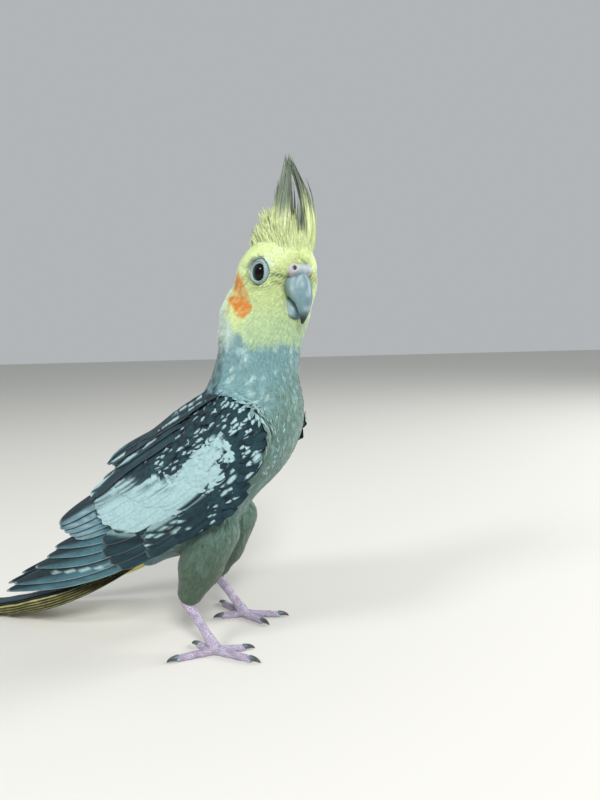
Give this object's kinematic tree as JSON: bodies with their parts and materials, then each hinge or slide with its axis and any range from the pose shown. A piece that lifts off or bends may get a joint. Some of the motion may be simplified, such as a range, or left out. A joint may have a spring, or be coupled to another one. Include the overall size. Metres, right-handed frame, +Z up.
{
  "type": "cockatiel figure",
  "caption": "Life-size still cockatiel standing on the floor, head turned to its right, crest raised, wings folded and tail laid behind it.",
  "frame": {"origin": "middle of the bounding box, at the level of the floor", "axes": "+X forward, the way the body faces, +Y to the bird's left, +Z up"},
  "size_m": [0.2258, 0.0628, 0.2],
  "materials": {
    "grey_plumage": "soft grey body feathers with paler mottling, olive grey on the belly",
    "yellow_plumage": "lemon yellow face and crest feathers with an orange cheek patch",
    "wing_feathers": "slate grey wing feathers with pale spots, pale edges and a broad whitish patch",
    "tail_feathers": "tail feathers barred dark grey and yellow, the middle pair slate grey",
    "eye": "wet, nearly black",
    "bare_skin": "bare blue-grey skin round the eye and pinkish grey cere",
    "horn": "smooth blue-grey horn, darker at the tip",
    "foot_skin": "fine scaly pinkish lilac skin",
    "claw": "dark horn"
  },
  "bodies": {
    "root": {"torso": "grey_plumage", "neck": "grey_plumage", "head": "yellow_plumage", "crest": "yellow_plumage", "eye_left": "eye", "eye_right": "eye", "eyelid_left": "bare_skin", "eyelid_right": "bare_skin", "cere": "bare_skin", "bill_upper": "horn", "bill_lower": "horn", "wing_left": "wing_feathers", "wing_right": "wing_feathers", "tail": "tail_feathers", "thigh_left": "grey_plumage", "thigh_right": "grey_plumage", "shank_left": "foot_skin", "shank_right": "foot_skin", "foot_left": "foot_skin", "foot_right": "foot_skin", "claw_left_inner_front": "claw", "claw_left_outer_front": "claw", "claw_left_inner_back": "claw", "claw_left_outer_back": "claw", "claw_right_inner_front": "claw", "claw_right_outer_front": "claw", "claw_right_inner_back": "claw", "claw_right_outer_back": "claw"}
  },
  "joints": []
}
